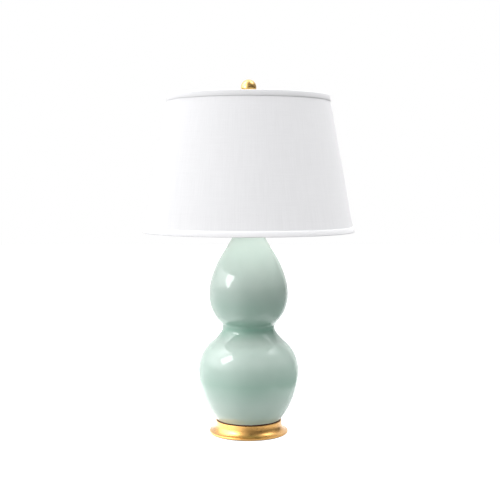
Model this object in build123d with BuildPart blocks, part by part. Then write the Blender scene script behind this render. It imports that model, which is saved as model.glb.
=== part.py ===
from build123d import *
import os
from math import atan, copysign, cos, degrees, radians, sin, sqrt

# Double gourd table lamp: a glazed ceramic body on a turned gilded foot, with a threaded pipe up
# the middle that carries the socket, the harp, the shade and the finial.
# Millimetres, +Z up. The origin is the middle of the felt pad's underside, on the table. The front
# faces -Y, the cord leaves at the back, +Y, and the harp's loop lies in the XZ plane.
# Heights are stacked from the table upwards, each piece on the one that carries it.
os.makedirs("parts", exist_ok=True)

# ---- fits ----
running_gap = 0.3  # between pieces that pass or turn by each other
slip_gap = 0.1  # between tubes pushed one into the other
weld_gap = 0.1  # between a wire's end and the ring it is spot welded to

# ---- foot ----
felt_thickness = 1.5
felt_margin = 2.0  # the pad stops short of the foot's rim
foot_radius = 80.6
foot_height = 25.1
foot_rim_height = 3.4
foot_rim_round = 1.2
foot_ledge = 1.6  # flat step from the rim to the hollow flank
foot_hollow = 1.9  # how far the flank is drawn in from a straight slope
collar_radius = 67.8
collar_height = 9.6
collar_round = 0.8
recess_radius = 30.0
recess_depth = 14.0
seat_gasket_thickness = 2.5
seat_gasket_margin = 0.6

# ---- threaded pipe and what clamps the foot ----
pipe_radius = 5.1
pipe_bore_radius = 3.3
pipe_tail = 2.0  # thread left showing under the nut
pipe_into_cap = 6.0
foot_washer_radius = 16.0
foot_washer_thickness = 1.6
lock_washer_radius = 8.2
lock_washer_thickness = 1.2
nut_across_flats = 14.3
nut_thickness = 4.0

# ---- cord inlet at the back of the foot ----
inlet_height = 7.0  # above the foot's underside
bushing_bore_radius = 3.2
bushing_wall = 1.8
bushing_length = 14.0
bushing_flange_radius = 6.1
bushing_flange_thickness = 1.6
bushing_setback = 10.1  # from the foot's rim in to the flat behind the flange

# ---- gourd: tangent arcs from the foot to the neck ----
gourd_wall = 6.0
gourd_floor = 8.0
gourd_foot_radius = 66.3
gourd_foot_lean = 39.5  # degrees that the side leans out where it leaves the foot
lower_swell_radius = 162.0
lower_swell_angle = 37.3  # degrees that the arc turns towards the axis
lower_shoulder_radius = 78.0
lower_shoulder_angle = 52.6
throat_radius = 96.0
throat_angle = -16.8  # a negative angle is a hollow arc
waist_radius = 15.0
waist_angle = -76.4
upper_swell_radius = 89.0
upper_swell_angle = 56.0
upper_shoulder_radius = 206.0
upper_shoulder_angle = 19.5
gourd_arcs = (
    (lower_swell_radius, lower_swell_angle),
    (lower_shoulder_radius, lower_shoulder_angle),
    (throat_radius, throat_angle),
    (waist_radius, waist_angle),
    (upper_swell_radius, upper_swell_angle),
    (upper_shoulder_radius, upper_shoulder_angle),
)
neck_run = 22.0  # straight stretch under the neck's hollow arc
neck_hollow_radius = 80.0
gourd_lip_bevel = 1.2

# ---- neck fittings ----
cap_gasket_thickness = 1.0
cap_gasket_margin = 0.8
vase_cap_overhang = 1.4
vase_cap_height = 6.0
vase_cap_edge = 1.4
vase_cap_wall = 1.2
vase_cap_flat_radius = 11.0
vase_cap_rise = 1.6  # how far the cap domes above a straight slope
spacer_radius = 8.0
spacer_height = 6.0

# ---- harp saddle ----
saddle_thickness = 1.6
saddle_width = 16.0
saddle_base_half = 21.0
saddle_rise = 16.0
saddle_bend_round = 1.2
saddle_ledge = 6.4  # how far the ledge reaches past the seat's axis
saddle_ledge_round = 4.0
seat_spacing = 57.2
seat_wall = 1.1
seat_height = 14.0
seat_floor = 2.0

# ---- harp ----
harp_wire_radius = 2.0
harp_rise = 224.0  # from the saddle's underside to the top plate's upper face
harp_half_width = 60.0
harp_leg_run = 34.0
harp_lean = 40.0
harp_knee_radius = 40.0
harp_crown_radius = 48.0
plate_half_length = 13.0
plate_width = 12.0
plate_thickness = 2.4
plate_grip = 3.0  # how far the wire runs into the plate
ferrule_wall = 1.2
ferrule_cap = 1.2
stud_radius = 3.1
stud_length = 9.5  # above the spider's washer
stud_point = 0.6  # bevel that leads the finial on to the stud
stud_spigot_radius = 2.4
stud_flange_radius = 8.0
stud_flange_thickness = 1.8
stud_head_radius = 3.9
stud_head_thickness = 1.2

# ---- shade ----
shade_top_radius = 165.1
shade_bottom_radius = 215.9
shade_slant = 279.4
trim_height = 11.0
trim_thickness = 1.4
trim_wrap = 0.8  # the tape where it passes over the edge and behind the ring
trim_inner_height = 6.5
cloth_thickness = 0.7
backing_thickness = 0.9
ring_wire_radius = 1.6
ring_sides = 6
spider_washer_radius = 11.0
spider_washer_thickness = 2.2
spider_drop = 11.6  # from the spokes' height at the ring down to the washer
spider_wire_radius = 1.5
spider_spokes = 3
spider_flat_radius = 17.0
spider_slope_radius = 44.0
spider_bend_radius = 10.0
spoke_notch = 0.8  # room on each side of a spoke in the tape behind the ring

# ---- socket ----
socket_radius = 15.9
socket_wall = 0.6
socket_shell_height = 44.0
socket_overlap = 4.0  # of the shell inside the cap
cap_hub_radius = 8.4
cap_hub_height = 5.0
cap_dome_height = 13.0
cap_height = 20.0
cap_wall = 0.8
cap_dome_bulge = 2.2
liner_thickness = 0.8
liner_inset = 1.0
core_radius = 14.1
core_height = 22.0
core_flat = 11.0  # distance of the terminal flats from the axis
core_flat_height = 14.0
screw_shell_wall = 0.5
screw_shell_height = 21.0
contact_radius = 3.5
contact_thickness = 1.4
terminal_head_radius = 3.0
terminal_head_thickness = 1.8
terminal_shank_radius = 1.5
terminal_shank_length = 5.0
set_screw_radius = 1.6
set_screw_head_radius = 2.2
set_screw_head_length = 2.4

# ---- turn switch ----
switch_height = 10.0  # above the core's underside
switch_shaft_radius = 2.0
switch_bore_depth = 8.5
switch_reach = 9.5  # of the shaft beyond the shell
knob_gap = 1.2
knob_hub_radius = 5.4
knob_hub_length = 5.0
knob_key_length = 9.0
knob_key_height = 15.0
knob_key_thickness = 3.4
knob_round = 1.5

# ---- bulb ----
bulb_length = 108.0
bulb_radius = 30.0
bulb_glass = 1.0
bulb_neck_radius = 12.9
bulb_cap_radius = 13.2
bulb_cap_wall = 0.5
bulb_cap_bevel = 1.6
bulb_cap_length = 21.0
bulb_insulator_radius = 5.5
bulb_insulator_height = 3.8
bulb_contact_radius = 4.4
bulb_contact_height = 1.2
bulb_inner_steps = 5  # flat stretches on the hidden inside of the glass

# ---- finial ----
finial_ball_radius = 15.9
finial_stem = 0.9
finial_stem_radius = 5.0
finial_base_radius = 8.6
finial_base_height = 2.0
finial_waist_radius = 5.6
finial_waist_height = 9.0
finial_top_radius = 7.0
finial_height = 14.5
finial_bore_depth = 11.2

# ---- heights, stacked from the table upwards ----
foot_base = felt_thickness
foot_top = foot_base + foot_height
foot_web = foot_base + recess_depth
seat_top = foot_top + seat_gasket_thickness
pipe_hole_radius = pipe_radius + running_gap


def side_of_gourd(inset):
    """Draw the gourd's side from foot to neck, moved in by inset, and return points up it."""
    lean = radians(gourd_foot_lean)
    points = [Vector(gourd_foot_radius - inset * cos(lean), seat_top + inset * sin(lean))]
    heading = Vector(sin(lean), cos(lean))
    for radius, turn in gourd_arcs:
        arc = JernArc(points[-1], heading, radius - copysign(inset, turn), turn)
        points += [arc @ 0.5, arc @ 1]
        heading = arc % 1
    run = Line(points[-1], points[-1] + heading * neck_run)
    turned = sum(turn for _, turn in gourd_arcs)
    neck = JernArc(run @ 1, run % 1, neck_hollow_radius + inset, gourd_foot_lean - turned)
    return points + [run @ 1, neck @ 0.5, neck @ 1]


# ---- foot and what clamps it ----
with BuildPart() as felt_pad:
    with BuildSketch():
        Circle(foot_radius - felt_margin)
    extrude(amount=felt_thickness)

inlet_z = foot_base + inlet_height
bushing_radius = bushing_bore_radius + bushing_wall
bushing_seat_radius = foot_radius - bushing_setback
with BuildPart() as foot_plinth:
    rim_top = foot_base + foot_rim_height
    with BuildSketch(Plane.XZ):
        with BuildLine():
            Polyline(
                (collar_radius, foot_top - collar_height),
                (collar_radius, foot_top),
                (0, foot_top),
                (0, foot_base),
                (foot_radius, foot_base),
                (foot_radius, rim_top),
                (foot_radius - foot_ledge, rim_top),
            )
            SagittaArc(
                (foot_radius - foot_ledge, rim_top),
                (collar_radius, foot_top - collar_height),
                foot_hollow,
            )
        make_face()
    revolve(axis=Axis.Z)
    circles = foot_plinth.edges().filter_by(GeomType.CIRCLE)
    rim_edge = circles.filter_by(lambda e: e.radius > foot_radius - foot_ledge / 2).sort_by(Axis.Z)[-1]
    fillet(rim_edge, foot_rim_round)
    collar_edge = circles.sort_by(Axis.Z)[-1]
    fillet(collar_edge, collar_round)
    with BuildSketch(Plane.XY.offset(foot_base)):
        Circle(recess_radius)
    extrude(amount=recess_depth, mode=Mode.SUBTRACT)
    with BuildSketch(Plane.XY.offset(foot_base)):
        Circle(pipe_hole_radius)
    extrude(amount=foot_height, mode=Mode.SUBTRACT)
    with BuildSketch(Plane.XZ.offset(-bushing_seat_radius)):
        with Locations((0, inlet_z)):
            Circle(bushing_flange_radius + running_gap)
    extrude(amount=bushing_seat_radius - foot_radius, mode=Mode.SUBTRACT)
    with BuildSketch(Plane.XZ.offset(-bushing_seat_radius)):
        with Locations((0, inlet_z)):
            Circle(bushing_radius)
    extrude(amount=bushing_seat_radius - recess_radius / 2, mode=Mode.SUBTRACT)

with BuildPart() as cord_bushing:
    with BuildSketch(Plane.XZ.offset(-bushing_seat_radius)):
        with Locations((0, inlet_z)):
            Circle(bushing_radius)
    extrude(amount=bushing_length)
    with BuildSketch(Plane.XZ.offset(-bushing_seat_radius)):
        with Locations((0, inlet_z)):
            Circle(bushing_flange_radius)
    extrude(amount=-bushing_flange_thickness)
    with BuildSketch(Plane.XZ.offset(-bushing_seat_radius - bushing_flange_thickness)):
        with Locations((0, inlet_z)):
            Circle(bushing_bore_radius)
    extrude(amount=bushing_length + bushing_flange_thickness, mode=Mode.SUBTRACT)

with BuildPart() as foot_washer:
    with BuildSketch(Plane.XY.offset(foot_web)):
        Circle(foot_washer_radius)
        Circle(pipe_hole_radius, mode=Mode.SUBTRACT)
    extrude(amount=-foot_washer_thickness)

lock_washer_top = foot_web - foot_washer_thickness
with BuildPart() as lock_washer:
    with BuildSketch(Plane.XY.offset(lock_washer_top)):
        Circle(lock_washer_radius)
        Circle(pipe_hole_radius, mode=Mode.SUBTRACT)
    extrude(amount=-lock_washer_thickness)

nut_top = lock_washer_top - lock_washer_thickness
with BuildPart() as foot_nut:
    with BuildSketch(Plane.XY.offset(nut_top)):
        RegularPolygon(nut_across_flats / 2, 6, major_radius=False)
        Circle(pipe_radius, mode=Mode.SUBTRACT)
    extrude(amount=-nut_thickness)

with BuildPart() as seat_gasket:
    with BuildSketch(Plane.XY.offset(foot_top)):
        Circle(gourd_foot_radius - seat_gasket_margin)
        Circle(pipe_hole_radius, mode=Mode.SUBTRACT)
    extrude(amount=seat_gasket_thickness)

# ---- gourd body: a cast shell, whose hidden inside follows its outside in straight stretches ----
with BuildLine():
    cavity_side = side_of_gourd(gourd_wall)

with BuildPart() as gourd_body:
    with BuildSketch(Plane.XZ):
        with BuildLine():
            lip = side_of_gourd(0)[-1]
            Polyline(lip, (0, lip.Y), (0, seat_top), (gourd_foot_radius, seat_top))
        make_face()
    revolve(axis=Axis.Z)
    lip_edge = gourd_body.edges().filter_by(GeomType.CIRCLE).sort_by(Axis.Z)[-1]
    chamfer(lip_edge, gourd_lip_bevel)
    with BuildSketch(Plane.XZ):
        with BuildLine():
            Polyline(*cavity_side, (0, cavity_side[-1].Y), (0, cavity_side[0].Y), close=True)
        make_face()
    revolve(axis=Axis.Z, mode=Mode.SUBTRACT)
    with BuildSketch(Plane.XY.offset(seat_top)):
        Circle(gourd_foot_radius - seat_gasket_margin)
    extrude(amount=gourd_floor)
    with BuildSketch(Plane.XY.offset(seat_top)):
        Circle(pipe_hole_radius)
    extrude(amount=gourd_floor, mode=Mode.SUBTRACT)

lip_radius = lip.X
gourd_top = lip.Y

# ---- neck fittings ----
with BuildPart() as cap_gasket:
    with BuildSketch(Plane.XY.offset(gourd_top)):
        Circle(lip_radius - gourd_lip_bevel)
        Circle(lip_radius - gourd_wall + cap_gasket_margin, mode=Mode.SUBTRACT)
    extrude(amount=cap_gasket_thickness)

cap_base = gourd_top + cap_gasket_thickness
cap_top = cap_base + vase_cap_height
with BuildPart() as vase_cap:
    cap_radius = lip_radius + vase_cap_overhang
    bearing_radius = lip_radius - gourd_wall
    with BuildSketch(Plane.XZ):
        with BuildLine():
            SagittaArc((vase_cap_flat_radius, cap_top), (cap_radius, cap_base + vase_cap_edge), vase_cap_rise)
            Polyline(
                (cap_radius, cap_base + vase_cap_edge),
                (cap_radius, cap_base),
                (bearing_radius, cap_base),
                (vase_cap_flat_radius, cap_top - vase_cap_wall),
                (pipe_hole_radius, cap_top - vase_cap_wall),
                (pipe_hole_radius, cap_top),
                (vase_cap_flat_radius, cap_top),
            )
        make_face()
    revolve(axis=Axis.Z)

with BuildPart() as neck_spacer:
    with BuildSketch(Plane.XY.offset(cap_top)):
        Circle(spacer_radius)
        Circle(pipe_hole_radius, mode=Mode.SUBTRACT)
    extrude(amount=spacer_height)

# ---- harp saddle: a bent strip with a seat for each leg of the harp ----
saddle_base = cap_top + spacer_height
saddle_top = saddle_base + saddle_thickness
ledge_top = saddle_base + saddle_rise
leg_x = seat_spacing / 2
seat_bore_radius = harp_wire_radius + running_gap
seat_radius = seat_bore_radius + seat_wall
with BuildPart() as harp_saddle:
    arm_inner = saddle_base_half - saddle_thickness
    ledge_end = leg_x + saddle_ledge
    with BuildSketch(Plane.XZ):
        with BuildLine():
            Polyline(
                (0, saddle_base),
                (saddle_base_half, saddle_base),
                (saddle_base_half, ledge_top - saddle_thickness),
                (ledge_end, ledge_top - saddle_thickness),
                (ledge_end, ledge_top),
                (arm_inner, ledge_top),
                (arm_inner, saddle_top),
                (0, saddle_top),
                close=True,
            )
        make_face()
        mirror(about=Plane.YZ)
    extrude(amount=saddle_width / 2, both=True)
    bends = harp_saddle.edges().filter_by(Axis.Y)
    outer_bends = bends.filter_by_position(Axis.Z, saddle_base, saddle_base).group_by(Axis.X)
    fillet((outer_bends[0], outer_bends[-1]), saddle_bend_round)
    ledge_corners = harp_saddle.edges().filter_by(Axis.Z).filter_by(
        lambda e: abs(e.center().X) > ledge_end - saddle_thickness
    )
    fillet(ledge_corners, saddle_ledge_round)
    with BuildSketch(Plane.XY.offset(ledge_top)):
        with Locations((-leg_x, 0), (leg_x, 0)):
            Circle(seat_radius)
    extrude(amount=seat_height)
    with BuildSketch(Plane.XY.offset(ledge_top + seat_floor)):
        with Locations((-leg_x, 0), (leg_x, 0)):
            Circle(seat_bore_radius)
    extrude(amount=seat_height - seat_floor, mode=Mode.SUBTRACT)
    with BuildSketch(Plane.XY.offset(saddle_base)):
        Circle(pipe_hole_radius)
    extrude(amount=saddle_thickness, mode=Mode.SUBTRACT)

pipe_bottom = nut_top - nut_thickness - pipe_tail
with BuildPart() as lamp_pipe:
    with BuildSketch(Plane.XY.offset(pipe_bottom)):
        Circle(pipe_radius)
        Circle(pipe_bore_radius, mode=Mode.SUBTRACT)
    extrude(amount=saddle_top + pipe_into_cap - pipe_bottom)

# ---- harp ----
plate_top = saddle_base + harp_rise
wire_top_z = plate_top - plate_thickness / 2
with BuildPart() as harp_wire:
    leg_foot = ledge_top + seat_floor
    sway = (harp_half_width - leg_x) / (1 - cos(radians(harp_lean)))
    side_foot = leg_foot + harp_leg_run + sway * sin(radians(harp_lean))
    side_run = wire_top_z - harp_crown_radius - side_foot
    plate_entry = plate_half_length - plate_grip
    for side in (-1, 1):
        with BuildLine(Plane.XZ) as harp_path:
            leg = Line((side * leg_x, leg_foot), (side * leg_x, leg_foot + harp_leg_run))
            knee = JernArc(leg @ 1, leg % 1, harp_knee_radius, -side * harp_lean)
            hip = JernArc(knee @ 1, knee % 1, sway - harp_knee_radius, side * harp_lean)
            upright = Line(hip @ 1, hip @ 1 + (hip % 1) * side_run)
            crown = JernArc(upright @ 1, upright % 1, harp_crown_radius, side * 90)
            Line(crown @ 1, (side * plate_entry, wire_top_z))
        with BuildSketch(Plane.XY.offset(leg_foot)):
            with Locations((side * leg_x, 0)):
                Circle(harp_wire_radius)
        sweep(path=harp_path.wire())
    with BuildSketch(Plane.XY.offset(plate_top)):
        SlotOverall(2 * plate_half_length, plate_width)
    extrude(amount=-plate_thickness)
    with BuildSketch(Plane.XY.offset(plate_top + harp_wire_radius)):
        Circle(stud_spigot_radius + running_gap)
    extrude(amount=-2 * harp_wire_radius - plate_thickness, mode=Mode.SUBTRACT)

ferrule_bore_radius = seat_radius + running_gap
ferrule_inner_height = seat_height + running_gap
for name, side in (("ferrule_left", -1), ("ferrule_right", 1)):
    with BuildPart() as ferrule:
        with BuildSketch(Plane.XY.offset(ledge_top)):
            with Locations((side * leg_x, 0)):
                Circle(ferrule_bore_radius + ferrule_wall)
        extrude(amount=ferrule_inner_height + ferrule_cap)
        with BuildSketch(Plane.XY.offset(ledge_top)):
            with Locations((side * leg_x, 0)):
                Circle(ferrule_bore_radius)
        extrude(amount=ferrule_inner_height, mode=Mode.SUBTRACT)
        with BuildSketch(Plane.XY.offset(ledge_top)):
            with Locations((side * leg_x, 0)):
                Circle(seat_bore_radius)
        extrude(amount=ferrule_inner_height + ferrule_cap, mode=Mode.SUBTRACT)
    ferrule.part.label = name
    export_step(ferrule.part, f"parts/{name}.step")

washer_base = plate_top + stud_flange_thickness
washer_top = washer_base + spider_washer_thickness
with BuildPart() as swivel_stud:
    with BuildSketch(Plane.XY.offset(plate_top)):
        Circle(stud_flange_radius)
    extrude(amount=stud_flange_thickness)
    with BuildSketch(Plane.XY.offset(washer_base)):
        Circle(stud_radius)
    extrude(amount=spider_washer_thickness + stud_length)
    chamfer(swivel_stud.edges().sort_by(Axis.Z)[-1], stud_point)
    spigot_length = plate_thickness + running_gap + stud_head_thickness
    with BuildSketch(Plane.XY.offset(plate_top)):
        Circle(stud_spigot_radius)
    extrude(amount=-spigot_length)
    with BuildSketch(Plane.XY.offset(plate_top - spigot_length)):
        Circle(stud_head_radius)
    extrude(amount=stud_head_thickness)

# ---- shade: a stiff cone with cloth on it, wire rings in its rims and tape round its edges ----
washer_middle = washer_base + spider_washer_thickness / 2
ring_top_z = washer_middle + spider_drop
shade_top = ring_top_z + trim_wrap + running_gap + ring_wire_radius
shade_bottom = shade_top - sqrt(shade_slant**2 - (shade_bottom_radius - shade_top_radius) ** 2)
shade_slope = (shade_top_radius - shade_bottom_radius) / (shade_top - shade_bottom)
ring_inset = trim_thickness + cloth_thickness + backing_thickness + running_gap + ring_wire_radius
ring_edge_gap = trim_wrap + running_gap + ring_wire_radius


def shade_radius(z):
    """Outer radius of the shade, over its trims, at height z."""
    return shade_bottom_radius + shade_slope * (z - shade_bottom)


def ring_radius(z):
    """Radius of a rim ring's middle at height z, clear of the backing at the ring's upper side."""
    return shade_radius(z + ring_wire_radius) - ring_inset


def cone_section(inset, thickness):
    """Section of a wall that lies inset from the shade's outer radius, between the taped edges."""
    low = shade_bottom + trim_wrap
    high = shade_top - trim_wrap
    with BuildSketch(Plane.XZ) as section:
        with BuildLine():
            Polyline(
                (shade_radius(low) - inset, low),
                (shade_radius(high) - inset, high),
                (shade_radius(high) - inset - thickness, high),
                (shade_radius(low) - inset - thickness, low),
                close=True,
            )
        make_face()
    return section.sketch


def tape_section(edge, inward):
    """Section of the tape folded over one edge and behind its ring. inward is -1 at the top."""
    reach = edge + inward * trim_height
    fold = edge + inward * trim_wrap
    tuck = edge + inward * trim_inner_height
    behind = ring_radius(edge + inward * ring_edge_gap) - ring_wire_radius - running_gap
    with BuildSketch(Plane.XZ) as section:
        with BuildLine():
            Polyline(
                (shade_radius(reach), reach),
                (shade_radius(edge), edge),
                (behind - trim_wrap, edge),
                (behind - trim_wrap, tuck),
                (behind, tuck),
                (behind, fold),
                (shade_radius(fold) - trim_thickness, fold),
                (shade_radius(reach) - trim_thickness, reach),
                close=True,
            )
        make_face()
    return section.sketch


def ring_section(z):
    """Section of a rim ring's wire, drawn with a few sides because the tape hides it."""
    with BuildSketch(Plane.XZ) as section:
        with Locations((ring_radius(z), z)):
            RegularPolygon(ring_wire_radius, ring_sides, major_radius=False, rotation=180 / ring_sides)
    return section.sketch


with BuildPart() as shade_cloth:
    revolve(cone_section(trim_thickness, cloth_thickness), axis=Axis.Z)

with BuildPart() as shade_backing:
    revolve(cone_section(trim_thickness + cloth_thickness, backing_thickness), axis=Axis.Z)

with BuildPart() as trim_top:
    revolve(tape_section(shade_top, -1), axis=Axis.Z)
    notch_width = 2 * (spider_wire_radius + spoke_notch)
    with BuildSketch(Plane.XY.offset(shade_top - trim_wrap)):
        with PolarLocations(ring_radius(ring_top_z) - ring_wire_radius, spider_spokes, start_angle=90):
            Rectangle(2 * ring_wire_radius, notch_width)
    extrude(amount=-trim_inner_height, mode=Mode.SUBTRACT)

with BuildPart() as trim_bottom:
    revolve(tape_section(shade_bottom, 1), axis=Axis.Z)

with BuildPart() as shade_ring_top:
    revolve(ring_section(ring_top_z), axis=Axis.Z)

with BuildPart() as shade_ring_bottom:
    revolve(ring_section(shade_bottom + ring_edge_gap), axis=Axis.Z)

with BuildPart() as spider:
    with BuildSketch(Plane.XY.offset(washer_base)):
        Circle(spider_washer_radius)
        Circle(stud_radius + running_gap, mode=Mode.SUBTRACT)
    extrude(amount=spider_washer_thickness)
    spoke_start = spider_washer_radius - spider_wire_radius
    spoke_end = ring_radius(ring_top_z) - ring_wire_radius - weld_gap
    for spoke in range(spider_spokes):
        turned = Plane.XZ.rotated((0, 0, 90 + spoke * 360 / spider_spokes))
        with BuildLine(turned) as spoke_path:
            FilletPolyline(
                (spoke_start, washer_middle),
                (spider_flat_radius, washer_middle),
                (spider_slope_radius, ring_top_z),
                (spoke_end, ring_top_z),
                radius=spider_bend_radius,
            )
        with BuildSketch(Plane(spoke_path.line @ 0, z_dir=spoke_path.line % 0)):
            Circle(spider_wire_radius)
        sweep(path=spoke_path.wire())

# ---- socket ----
cap_inner_radius = socket_radius + slip_gap
cap_outer_radius = cap_inner_radius + cap_wall
with BuildPart() as socket_cap:
    with BuildSketch(Plane.XZ):
        with BuildLine():
            Polyline(
                (cap_outer_radius, saddle_top + cap_dome_height),
                (cap_outer_radius, saddle_top + cap_height),
                (cap_inner_radius, saddle_top + cap_height),
                (cap_inner_radius, saddle_top + cap_dome_height),
            )
            dome_inside = SagittaArc(
                (cap_inner_radius, saddle_top + cap_dome_height),
                (pipe_radius + cap_wall, saddle_top + cap_hub_height + cap_wall),
                cap_dome_bulge,
                mode=Mode.PRIVATE,
            )
            Polyline(
                dome_inside @ 0,
                dome_inside @ 0.5,
                dome_inside @ 1,
                (pipe_radius, saddle_top + cap_hub_height + cap_wall),
                (pipe_radius, saddle_top),
                (cap_hub_radius, saddle_top),
                (cap_hub_radius, saddle_top + cap_hub_height),
            )
            SagittaArc(
                (cap_hub_radius, saddle_top + cap_hub_height),
                (cap_outer_radius, saddle_top + cap_dome_height),
                -cap_dome_bulge,
            )
        make_face()
    revolve(axis=Axis.Z)
    with BuildSketch(Plane.XZ.offset(-pipe_radius)):
        with Locations((0, saddle_top + cap_hub_height / 2)):
            Circle(set_screw_radius)
    extrude(amount=-cap_hub_radius, mode=Mode.SUBTRACT)

with BuildPart() as cap_set_screw:
    with BuildSketch(Plane.XZ.offset(-pipe_radius)):
        with Locations((0, saddle_top + cap_hub_height / 2)):
            Circle(set_screw_radius)
    extrude(amount=pipe_radius - cap_hub_radius - running_gap)
    with BuildSketch(Plane.XZ.offset(-cap_hub_radius - running_gap)):
        with Locations((0, saddle_top + cap_hub_height / 2)):
            Circle(set_screw_head_radius)
    extrude(amount=-set_screw_head_length)

core_base = saddle_top + cap_dome_height + running_gap
core_top = core_base + core_height
switch_z = core_base + switch_height
shell_base = saddle_top + cap_height - socket_overlap
shell_top = shell_base + socket_shell_height
liner_radius = socket_radius - socket_wall - slip_gap
shaft_hole_radius = switch_shaft_radius + running_gap
with BuildPart() as socket_shell:
    with BuildSketch(Plane.XY.offset(shell_base)):
        Circle(socket_radius)
        Circle(socket_radius - socket_wall, mode=Mode.SUBTRACT)
    extrude(amount=socket_shell_height)
    with BuildSketch(Plane.XZ):
        with Locations((0, switch_z)):
            Circle(shaft_hole_radius)
    extrude(amount=2 * socket_radius, mode=Mode.SUBTRACT)

with BuildPart() as socket_liner:
    with BuildSketch(Plane.XY.offset(shell_base + liner_inset)):
        Circle(liner_radius)
        Circle(liner_radius - liner_thickness, mode=Mode.SUBTRACT)
    extrude(amount=socket_shell_height - 2 * liner_inset)
    with BuildSketch(Plane.XZ):
        with Locations((0, switch_z)):
            Circle(shaft_hole_radius)
    extrude(amount=2 * socket_radius, mode=Mode.SUBTRACT)

with BuildPart() as socket_core:
    with BuildSketch(Plane.XY.offset(core_base)):
        Circle(core_radius)
    extrude(amount=core_height)
    with BuildSketch(Plane.XY.offset(core_base)):
        with Locations((-core_radius, 0), (core_radius, 0)):
            Rectangle(2 * (core_radius - core_flat), 2 * core_radius)
    extrude(amount=core_flat_height, mode=Mode.SUBTRACT)
    with BuildSketch(Plane.XZ.offset(core_radius - switch_bore_depth)):
        with Locations((0, switch_z)):
            Circle(shaft_hole_radius)
    extrude(amount=switch_bore_depth, mode=Mode.SUBTRACT)
    with BuildSketch(Plane.YZ.offset(core_flat - terminal_shank_length)):
        with Locations((0, core_base + core_flat_height / 2)):
            Circle(terminal_shank_radius)
    extrude(amount=terminal_shank_length, mode=Mode.SUBTRACT)
    with BuildSketch(Plane.YZ.offset(-core_flat)):
        with Locations((0, core_base + core_flat_height / 2)):
            Circle(terminal_shank_radius)
    extrude(amount=terminal_shank_length, mode=Mode.SUBTRACT)

with BuildPart() as terminal_screws:
    for side in (-1, 1):
        with BuildSketch(Plane.YZ.offset(side * core_flat)):
            with Locations((0, core_base + core_flat_height / 2)):
                Circle(terminal_shank_radius)
        extrude(amount=-side * terminal_shank_length)
        with BuildSketch(Plane.YZ.offset(side * core_flat)):
            with Locations((0, core_base + core_flat_height / 2)):
                Circle(terminal_head_radius)
        extrude(amount=side * terminal_head_thickness)

screw_shell_radius = bulb_cap_radius + running_gap + screw_shell_wall
with BuildPart() as screw_shell:
    with BuildSketch(Plane.XY.offset(core_top)):
        Circle(screw_shell_radius)
        Circle(screw_shell_radius - screw_shell_wall, mode=Mode.SUBTRACT)
    extrude(amount=screw_shell_height)

with BuildPart() as centre_contact:
    with BuildSketch(Plane.XY.offset(core_top)):
        Circle(contact_radius)
    extrude(amount=contact_thickness)

# ---- turn switch ----
with BuildPart() as switch_shaft:
    shaft_inner_y = core_radius - switch_bore_depth + running_gap
    with BuildSketch(Plane.XZ.offset(shaft_inner_y)):
        with Locations((0, switch_z)):
            Circle(switch_shaft_radius)
    extrude(amount=socket_radius + switch_reach - shaft_inner_y)

with BuildPart() as switch_knob:
    knob_y = socket_radius + knob_gap
    with BuildSketch(Plane.XZ.offset(knob_y)):
        with Locations((0, switch_z)):
            Circle(knob_hub_radius)
    extrude(amount=knob_hub_length)
    with BuildSketch(Plane.XZ.offset(knob_y + knob_hub_length)):
        with Locations((0, switch_z)):
            RectangleRounded(knob_key_thickness, knob_key_height, knob_round)
    extrude(amount=knob_key_length)
    with BuildSketch(Plane.XZ.offset(knob_y)):
        with Locations((0, switch_z)):
            Circle(switch_shaft_radius)
    extrude(amount=socket_radius + switch_reach - knob_y, mode=Mode.SUBTRACT)

# ---- bulb ----
bulb_base = core_top + contact_thickness
insulator_base = bulb_base + bulb_contact_height
bulb_cap_base = insulator_base + bulb_insulator_height
glass_base = bulb_cap_base + bulb_cap_length
glass_rise = bulb_length - bulb_radius - (glass_base - bulb_base)
# the neck's hollow arc and the ball share a tangent, which fixes both the turn and the arc's radius
neck_turn = 2 * degrees(atan((bulb_radius - bulb_neck_radius) / glass_rise))
neck_arc_radius = glass_rise / sin(radians(neck_turn)) - bulb_radius

with BuildPart() as bulb_contact:
    with BuildSketch(Plane.XY.offset(bulb_base)):
        Circle(bulb_contact_radius)
    extrude(amount=bulb_contact_height)

with BuildPart() as bulb_insulator:
    with BuildSketch(Plane.XZ):
        with BuildLine():
            Polyline(
                (0, insulator_base),
                (bulb_insulator_radius, insulator_base),
                (bulb_cap_radius - bulb_cap_bevel, bulb_cap_base),
                (0, bulb_cap_base),
                close=True,
            )
        make_face()
    revolve(axis=Axis.Z)

with BuildPart() as bulb_cap:
    with BuildSketch(Plane.XY.offset(bulb_cap_base)):
        Circle(bulb_cap_radius)
    extrude(amount=bulb_cap_length)
    chamfer(bulb_cap.edges().sort_by(Axis.Z)[0], bulb_cap_bevel)
    with BuildSketch(Plane.XY.offset(bulb_cap_base + bulb_cap_bevel)):
        Circle(bulb_cap_radius - bulb_cap_wall)
    extrude(amount=bulb_cap_length, mode=Mode.SUBTRACT)

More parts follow.
